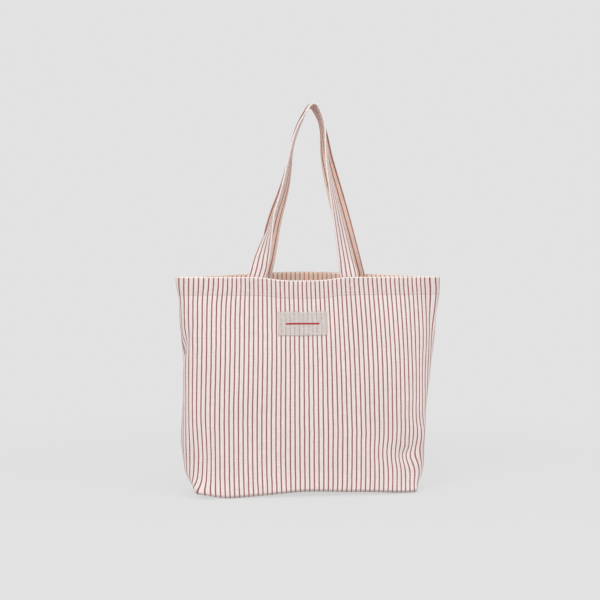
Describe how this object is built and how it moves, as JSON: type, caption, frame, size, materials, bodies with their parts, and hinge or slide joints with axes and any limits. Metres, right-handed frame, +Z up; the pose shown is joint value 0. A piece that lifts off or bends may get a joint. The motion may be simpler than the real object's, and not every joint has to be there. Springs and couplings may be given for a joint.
{
  "type": "canvas tote bag",
  "caption": "Open-topped tote bag of vertically striped ticking canvas with a boxed base, turned hem, plain sewn-on label and two upright strap handles that fold down outside the mouth.",
  "frame": {"origin": "middle of the flat base, on the surface the bag stands on", "axes": "+Z up towards the handles, -Y out of the front panel with the label, +X to the right as seen from the front"},
  "size_m": [0.4029, 0.1036, 0.5988],
  "materials": {
    "striped_canvas": "woven cotton canvas, ivory ground with narrow brick-red stripes, matt",
    "striped_canvas_inside": "the wrong side of the same striped canvas, warmer and softer, matt",
    "label_cotton": "thin unbleached cotton, matt"
  },
  "bodies": {
    "bag": {"front_panel": "striped_canvas", "back_panel": "striped_canvas", "front_hem": "striped_canvas_inside", "back_hem": "striped_canvas_inside", "front_handle_left_end": "striped_canvas", "front_handle_right_end": "striped_canvas", "back_handle_left_end": "striped_canvas", "back_handle_right_end": "striped_canvas", "label": "label_cotton", "left_side_seam": "striped_canvas_inside", "right_side_seam": "striped_canvas_inside", "left_corner_seam": "striped_canvas_inside", "right_corner_seam": "striped_canvas_inside", "bottom_seam": "striped_canvas_inside"},
    "front_strap": {"front_handle": "striped_canvas"},
    "back_strap": {"back_handle": "striped_canvas"}
  },
  "joints": [
    {"name": "front_handle_fold", "type": "hinge", "parent": "bag", "child": "front_strap", "pos_m": [0, -0.0305, 0.3236], "axis": [1, 0, 0], "range_deg": [0, 165]},
    {"name": "back_handle_fold", "type": "hinge", "parent": "bag", "child": "back_strap", "pos_m": [0, 0.0305, 0.3336], "axis": [-1, 0, 0], "range_deg": [0, 165]}
  ]
}
